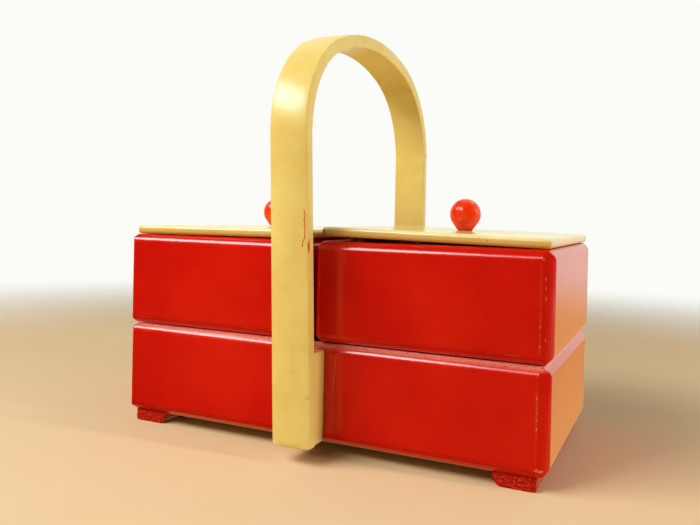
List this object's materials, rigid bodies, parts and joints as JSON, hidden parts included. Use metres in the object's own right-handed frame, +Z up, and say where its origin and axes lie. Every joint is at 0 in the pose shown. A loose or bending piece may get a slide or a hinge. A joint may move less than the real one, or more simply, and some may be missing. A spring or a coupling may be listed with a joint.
{
  "type": "sewing carrier",
  "caption": "Long painted wooden sewing box with a bentwood bow handle, trays above that swivel outwards about corner pivots, and loose knobbed lids that lift off.",
  "frame": {"origin": "on the floor, under the middle of the carrier", "axes": "+Z up, +X along the length towards the right tray, +Y towards the back; the bow handle stands across the middle in the Y-Z plane"},
  "size_m": [0.3616, 0.2506, 0.3385],
  "materials": {
    "red_boards": "gloss red oil paint over solid wood boards",
    "red_runners": "red paint, sawn end grain left rough",
    "cream_handle": "cream-yellow gloss paint over bentwood",
    "cream_lids": "cream-yellow gloss paint over plywood",
    "orange_knobs": "orange-red lacquer over turned beech",
    "bare_wood": "bare pale wood, smooth",
    "steel": "bright plated steel"
  },
  "bodies": {
    "base": {"base_front_board": "red_boards", "base_back_board": "red_boards", "base_left_end": "red_boards", "base_right_end": "red_boards", "base_floor": "bare_wood", "front_pivot_post": "bare_wood", "back_pivot_post": "bare_wood", "left_runner": "red_runners", "right_runner": "red_runners", "handle_bow": "cream_handle", "front_spacer_block": "cream_handle", "back_spacer_block": "cream_handle", "runner_screws": "steel", "handle_screws": "steel", "right_pivot_screw": "steel", "left_pivot_screw": "steel", "pivot_washers": "steel"},
    "right_tray": {"right_tray_front_board": "red_boards", "right_tray_back_board": "red_boards", "right_tray_outer_end": "red_boards", "right_tray_inner_end": "red_boards", "right_tray_floor": "bare_wood", "right_pivot_block": "bare_wood"},
    "right_lid": {"right_lid_panel": "cream_lids", "right_lid_battens": "bare_wood", "right_knob": "orange_knobs", "right_knob_screw": "steel"},
    "left_tray": {"left_tray_front_board": "red_boards", "left_tray_back_board": "red_boards", "left_tray_outer_end": "red_boards", "left_tray_inner_end": "red_boards", "left_tray_floor": "bare_wood", "left_pivot_block": "bare_wood"},
    "left_lid": {"left_lid_panel": "cream_lids", "left_lid_battens": "bare_wood", "left_knob": "orange_knobs", "left_knob_screw": "steel"}
  },
  "joints": [
    {"name": "right_tray_swivel", "type": "hinge", "parent": "base", "child": "right_tray", "pos_m": [0.03425, -0.079, 0.0863], "axis": [0, 0, -1], "range_deg": [0, 90]},
    {"name": "left_tray_swivel", "type": "hinge", "parent": "base", "child": "left_tray", "pos_m": [-0.03425, 0.079, 0.0863], "axis": [0, 0, -1], "range_deg": [0, 90]},
    {"name": "right_lid_lift", "type": "slide", "parent": "right_tray", "child": "right_lid", "axis": [0.2, 0, 0.9798], "range_m": [0, 0.18]},
    {"name": "left_lid_lift", "type": "slide", "parent": "left_tray", "child": "left_lid", "axis": [-0.2, 0, 0.9798], "range_m": [0, 0.18]}
  ]
}
